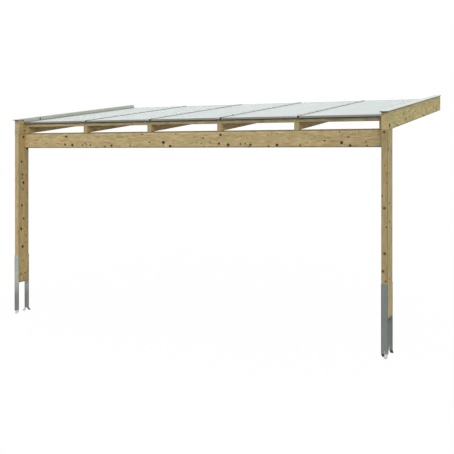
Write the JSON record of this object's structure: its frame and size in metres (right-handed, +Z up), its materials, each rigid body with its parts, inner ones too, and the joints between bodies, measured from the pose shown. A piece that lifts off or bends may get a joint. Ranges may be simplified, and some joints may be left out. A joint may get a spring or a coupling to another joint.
{
  "type": "lean-to patio cover",
  "caption": "Lean-to patio cover: laminated timber frame on steel anchors, pale twin-wall sheet roof with aluminium strips, fixed to a house wall at the back.",
  "frame": {"origin": "centre of the wall beam's back face, which lies on the house wall", "axes": "+Z up, +Y into the house wall, -Y out to the front posts, +X to the right seen from the garden"},
  "size_m": [5.586, 3.066, 3.2233],
  "materials": {
    "timber": "planed laminated softwood, pressure treated, with small knots",
    "galvanised_steel": "dull hot-dip zinc",
    "polycarbonate": "smooth pale twin-wall sheet",
    "aluminium": "mill-finished satin aluminium",
    "rubber": "matt black seal"
  },
  "bodies": {
    "root": {"left_post": "timber", "right_post": "timber", "left_post_anchor": "galvanised_steel", "right_post_anchor": "galvanised_steel", "left_side_rafter": "timber", "right_side_rafter": "timber", "front_beam": "timber", "wall_beam": "timber", "rafter_1": "timber", "rafter_2": "timber", "rafter_3": "timber", "rafter_4": "timber", "rafter_5": "timber", "rafter_6": "timber", "front_board_1": "timber", "front_board_2": "timber", "front_board_3": "timber", "front_board_4": "timber", "front_board_5": "timber", "roof_sheet_1": "polycarbonate", "roof_sheet_2": "polycarbonate", "roof_sheet_3": "polycarbonate", "roof_sheet_4": "polycarbonate", "roof_sheet_5": "polycarbonate", "cover_strip_1": "aluminium", "cover_strip_2": "aluminium", "cover_strip_3": "aluminium", "cover_strip_4": "aluminium", "left_side_cap": "aluminium", "right_side_cap": "aluminium", "front_profile_1": "aluminium", "front_profile_2": "aluminium", "front_profile_3": "aluminium", "front_profile_4": "aluminium", "front_profile_5": "aluminium", "strip_seals": "rubber", "cap_seals": "rubber", "rafter_hangers": "galvanised_steel"}
  },
  "joints": []
}
